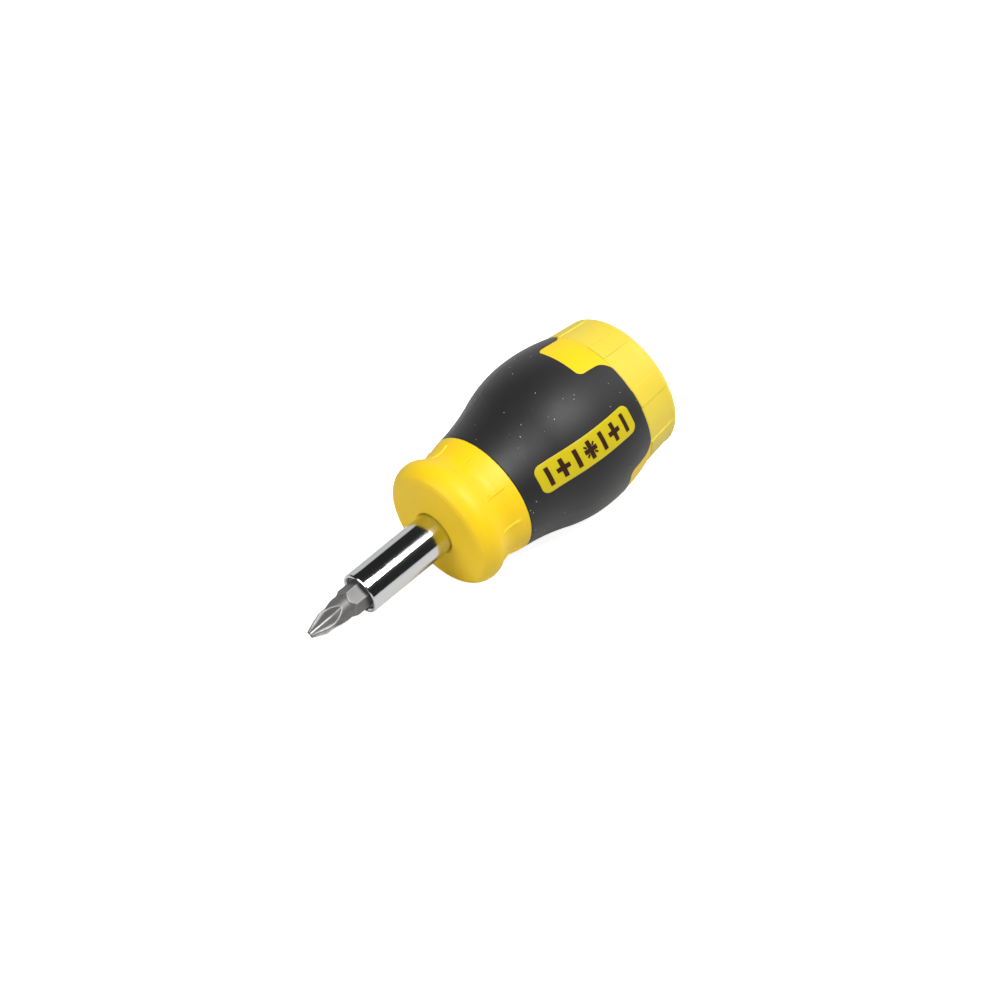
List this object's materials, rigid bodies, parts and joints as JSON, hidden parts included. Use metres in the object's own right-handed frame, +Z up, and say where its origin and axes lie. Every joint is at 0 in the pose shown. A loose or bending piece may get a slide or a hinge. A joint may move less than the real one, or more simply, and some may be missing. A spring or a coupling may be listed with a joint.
{
  "type": "stubby screwdriver",
  "caption": "Stubby screwdriver with changeable hex bits, a bright bit-holder tube, a flanged two-material handle, and spare bits stored under a plug-in end cap.",
  "frame": {"origin": "on the floor under the middle of the tool's own bounding box, the tool lying on its flange and on the thickest part of its grip", "axes": "+X along the tool from the bit's tip to the cap, +Z up; the tool's own axis rises towards the cap by 7.477 degrees"},
  "size_m": [0.1062, 0.0418, 0.0421],
  "materials": {
    "hard_yellow": "moulded hard plastic, satin gloss",
    "soft_black": "soft overmould, fine matt texture",
    "badge_yellow": "printed plate, satin",
    "cap_yellow": "moulded hard plastic, satin gloss",
    "seal_rubber": "matt",
    "carrier_plastic": "moulded, matt",
    "sleeve_chrome": "polished plating",
    "socket_steel": "turned steel, oiled",
    "magnet_nickel": "nickel plated",
    "spring_steel": "spring wire, bright",
    "bit_steel": "sand-blasted tool steel, satin grey"
  },
  "bodies": {
    "handle": {"handle_core": "hard_yellow", "soft_grip": "soft_black", "badge_plate": "badge_yellow", "bit_carrier": "carrier_plastic", "chrome_sleeve": "sleeve_chrome", "bit_socket": "socket_steel", "socket_magnet": "magnet_nickel", "bit_retaining_ring": "spring_steel"},
    "cap_ring": {"cap_seal": "seal_rubber"},
    "cap": {"end_cap": "cap_yellow"},
    "driving_bit": {"fitted_bit": "bit_steel"},
    "stored_pozi_bit_large": {"pozi_bit_large": "bit_steel"},
    "stored_slotted_bit_wide": {"slotted_bit_wide": "bit_steel"},
    "stored_pozi_bit_small": {"pozi_bit_small": "bit_steel"},
    "stored_slotted_bit_narrow": {"slotted_bit_narrow": "bit_steel"},
    "stored_cross_bit_small": {"cross_bit_small": "bit_steel"}
  },
  "joints": [
    {"name": "cap_pull", "type": "slide", "parent": "handle", "child": "cap_ring", "axis": [0.9915, 0, 0.1301], "range_m": [0, 0.06]},
    {"name": "cap_twist", "type": "hinge", "parent": "cap_ring", "child": "cap", "pos_m": [0.03982, 0, 0.02266], "axis": [0.9915, 0, 0.1301], "continuous": true},
    {"name": "bit_slide", "type": "slide", "parent": "handle", "child": "driving_bit", "axis": [-0.9915, 0, -0.1301], "range_m": [0, 0.03]},
    {"name": "pozi_bit_large_slide", "type": "slide", "parent": "handle", "child": "stored_pozi_bit_large", "axis": [0.9915, 0, 0.1301], "range_m": [0, 0.024]},
    {"name": "slotted_bit_wide_slide", "type": "slide", "parent": "handle", "child": "stored_slotted_bit_wide", "axis": [0.9915, 0, 0.1301], "range_m": [0, 0.024]},
    {"name": "pozi_bit_small_slide", "type": "slide", "parent": "handle", "child": "stored_pozi_bit_small", "axis": [0.9915, 0, 0.1301], "range_m": [0, 0.024]},
    {"name": "slotted_bit_narrow_slide", "type": "slide", "parent": "handle", "child": "stored_slotted_bit_narrow", "axis": [0.9915, 0, 0.1301], "range_m": [0, 0.024]},
    {"name": "cross_bit_small_slide", "type": "slide", "parent": "handle", "child": "stored_cross_bit_small", "axis": [0.9915, 0, 0.1301], "range_m": [0, 0.024]}
  ],
  "couplings": [
    {"joint": "pozi_bit_large_slide", "follows": "cap_pull", "ratio": 0.4},
    {"joint": "slotted_bit_wide_slide", "follows": "cap_pull", "ratio": 0.4},
    {"joint": "pozi_bit_small_slide", "follows": "cap_pull", "ratio": 0.4},
    {"joint": "slotted_bit_narrow_slide", "follows": "cap_pull", "ratio": 0.4},
    {"joint": "cross_bit_small_slide", "follows": "cap_pull", "ratio": 0.4}
  ]
}
